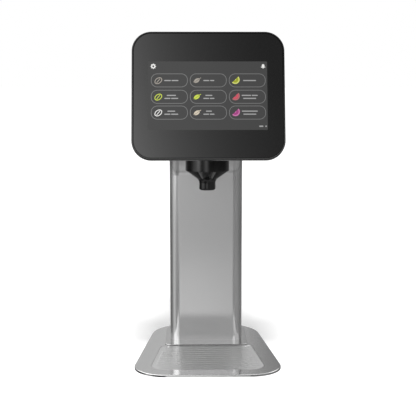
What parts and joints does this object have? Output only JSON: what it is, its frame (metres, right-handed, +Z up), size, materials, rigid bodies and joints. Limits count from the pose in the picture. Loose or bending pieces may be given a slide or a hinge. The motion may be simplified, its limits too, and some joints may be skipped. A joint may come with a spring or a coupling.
{
  "type": "touchscreen syrup dispenser",
  "caption": "Counter-top syrup and water dispenser: tilted black touchscreen head on a stainless arm and column, pull-off nozzle below, thin base plate with a ribbed drip insert.",
  "frame": {"origin": "on the counter, at the centre of the hose outlet bore in the underside, which is on the column's upright axis", "axes": "+Z up, +X to the right of a person facing the screen, -Y from the column towards the person"},
  "size_m": [0.1998, 0.2969, 0.4516],
  "materials": {
    "stainless": "satin brushed stainless steel",
    "inner_steel": "plain steel sheet",
    "fasteners": "bright screws",
    "black_gloss": "gloss black plastic",
    "black_matte": "fine-grained black plastic",
    "dark_glass": "black-backed touch glass",
    "display": "lit display panel",
    "circuit_board": "green solder mask",
    "spacers": "turned brass, plain",
    "clear_tube": "milky polyethylene tube",
    "fitting_grey": "grey acetal",
    "rubber_black": "black rubber",
    "valve_silicone": "translucent silicone",
    "manifold_white": "white acetal",
    "ribbon": "flat flexible ribbon"
  },
  "bodies": {
    "dispenser": {"base_plate": "stainless", "foot_flange": "stainless", "column_shell": "stainless", "column_rear_cover": "stainless", "arm_shell": "stainless", "arm_underplate": "stainless", "foot_plate": "inner_steel", "hose_bracket": "inner_steel", "head_bracket": "inner_steel", "lcd_bracket": "inner_steel", "foot_screws": "fasteners", "rear_cover_screws": "fasteners", "underplate_screws": "fasteners", "manifold_screws": "fasteners", "nozzle_socket_screws": "fasteners", "housing_screws": "fasteners", "lcd_screws": "fasteners", "board_screws": "fasteners", "head_bracket_bolts": "fasteners", "head_bezel": "black_gloss", "head_housing": "black_matte", "nozzle_socket": "black_matte", "tube_comb_lower": "black_matte", "tube_comb_upper": "black_matte", "board_connectors": "black_matte", "touch_glass": "dark_glass", "lcd_panel": "display", "controller_board": "circuit_board", "board_spacers": "spacers", "cable_socket": "spacers", "water_tube": "clear_tube", "flavour_tube_1": "clear_tube", "flavour_tube_2": "clear_tube", "flavour_tube_3": "clear_tube", "flavour_tube_4": "clear_tube", "flavour_tube_5": "clear_tube", "flavour_tube_6": "clear_tube", "flavour_tube_7": "clear_tube", "flavour_tube_8": "clear_tube", "flavour_fittings": "fitting_grey", "water_fitting": "fitting_grey", "socket_o_rings": "rubber_black", "data_cable": "rubber_black", "glass_tape": "rubber_black", "duckbill_valves": "valve_silicone", "manifold": "manifold_white", "display_ribbon": "ribbon"},
    "nozzle": {"nozzle": "black_gloss", "nozzle_diffuser": "manifold_white"},
    "drip_insert": {"drip_insert": "stainless"}
  },
  "joints": [
    {"name": "nozzle_pull", "type": "slide", "parent": "dispenser", "child": "nozzle", "axis": [0, 0, -1], "range_m": [0, 0.045]},
    {"name": "drip_insert_lift", "type": "slide", "parent": "dispenser", "child": "drip_insert", "axis": [0, 0, 1], "range_m": [0, 0.03]}
  ]
}
